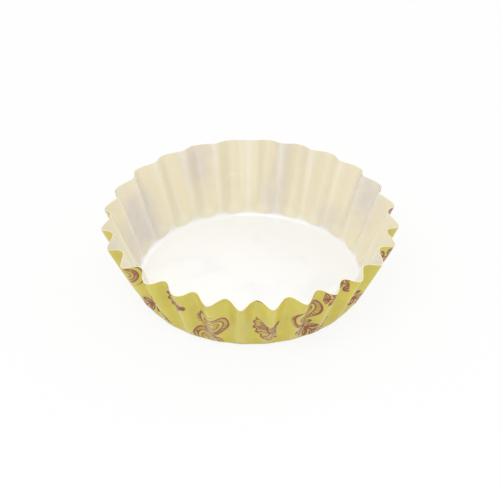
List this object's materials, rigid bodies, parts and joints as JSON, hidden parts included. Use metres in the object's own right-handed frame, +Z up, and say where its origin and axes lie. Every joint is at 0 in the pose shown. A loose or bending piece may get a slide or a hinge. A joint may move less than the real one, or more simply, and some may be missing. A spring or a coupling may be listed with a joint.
{
  "type": "cupcake liner",
  "caption": "Shallow fluted baking cup of film-laminated paper, printed yellow outside and glossy white inside, that holds a small cake for baking and serving.",
  "frame": {"origin": "centre of the floor's underside", "axes": "+Z up out of the cup's mouth; the front, where the flutes crowd a little, faces -Y"},
  "size_m": [0.0669, 0.0668, 0.0174],
  "materials": {
    "paper": "glossy film over printed paper"
  },
  "bodies": {
    "root": {"liner": "paper"}
  },
  "joints": []
}
